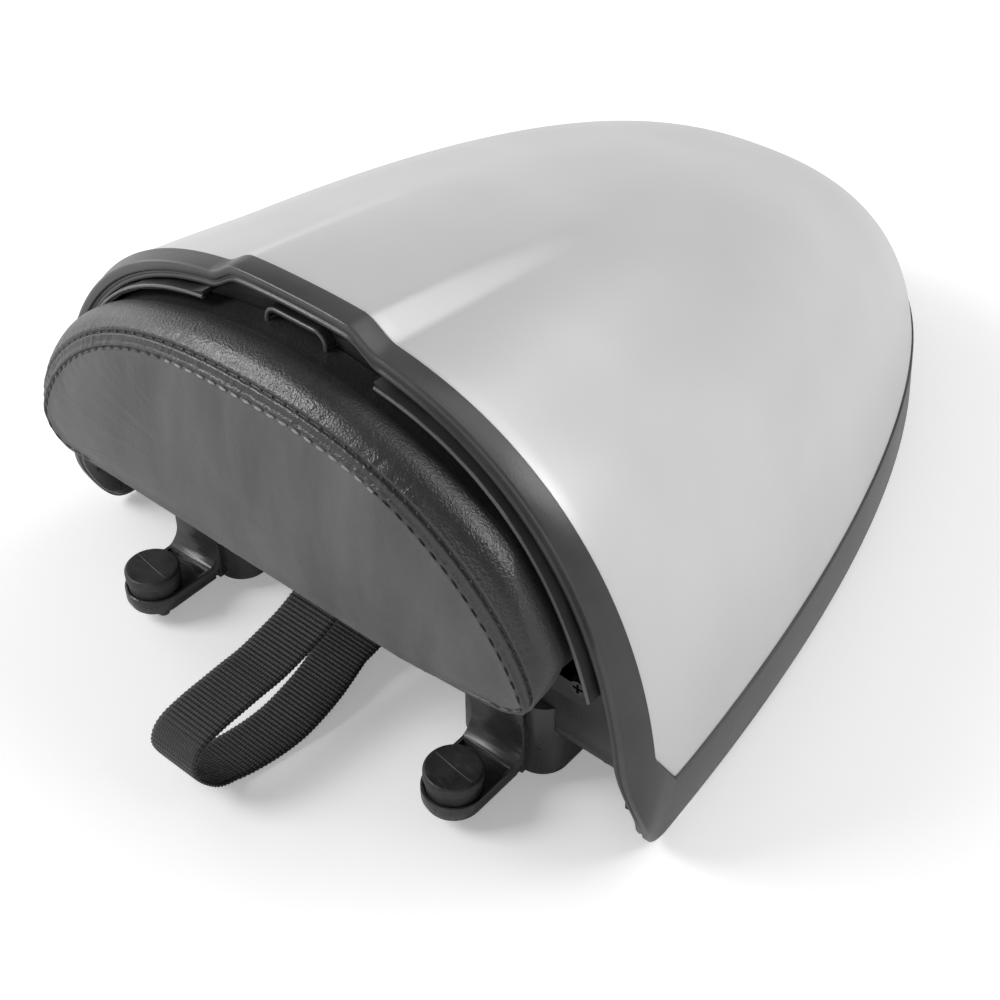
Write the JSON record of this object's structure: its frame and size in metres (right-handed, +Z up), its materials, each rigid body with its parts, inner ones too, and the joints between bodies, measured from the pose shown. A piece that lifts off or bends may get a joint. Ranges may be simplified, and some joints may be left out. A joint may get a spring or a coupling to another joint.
{
  "type": "motorbike seat cowl",
  "caption": "Painted dome on a black moulded frame with a padded front bump stop, rubber-buffered front feet, a webbing pull loop and a rear catch loop.",
  "frame": {"origin": "middle of the footprint, on the surface that the cowl stands on", "axes": "+X to the right of the bike as seen from behind the pad, +Y back to the tail, +Z up"},
  "size_m": [0.31, 0.4596, 0.1864],
  "materials": {
    "silver_paint": "satin silver paint",
    "black_moulding": "satin moulded plastic",
    "black_leather": "creased black leather cloth",
    "foam": "soft foam",
    "black_rubber": "matt",
    "webbing": "ribbed woven nylon",
    "zinc_steel": "zinc plated",
    "black_steel": "blackened"
  },
  "bodies": {
    "root": {"cowl_shell": "silver_paint", "cowl_frame": "black_moulding", "base_tray": "black_moulding", "bulkhead": "black_moulding", "backing_plate": "black_moulding", "pad_panel": "black_leather", "pad_boxing": "black_leather", "pad_foam": "foam", "front_foot_left": "black_moulding", "front_foot_right": "black_moulding", "front_buffer_left": "black_rubber", "front_buffer_right": "black_rubber", "rear_buffer_left": "black_rubber", "rear_buffer_right": "black_rubber", "pull_strap": "webbing", "strap_clamp_upper": "zinc_steel", "strap_clamp_lower": "zinc_steel", "strap_screws": "zinc_steel", "catch_loop": "zinc_steel", "catch_nuts": "zinc_steel", "tray_screws": "zinc_steel", "bulkhead_screws": "zinc_steel", "backing_screws": "black_steel", "foot_screws": "zinc_steel"}
  },
  "joints": []
}
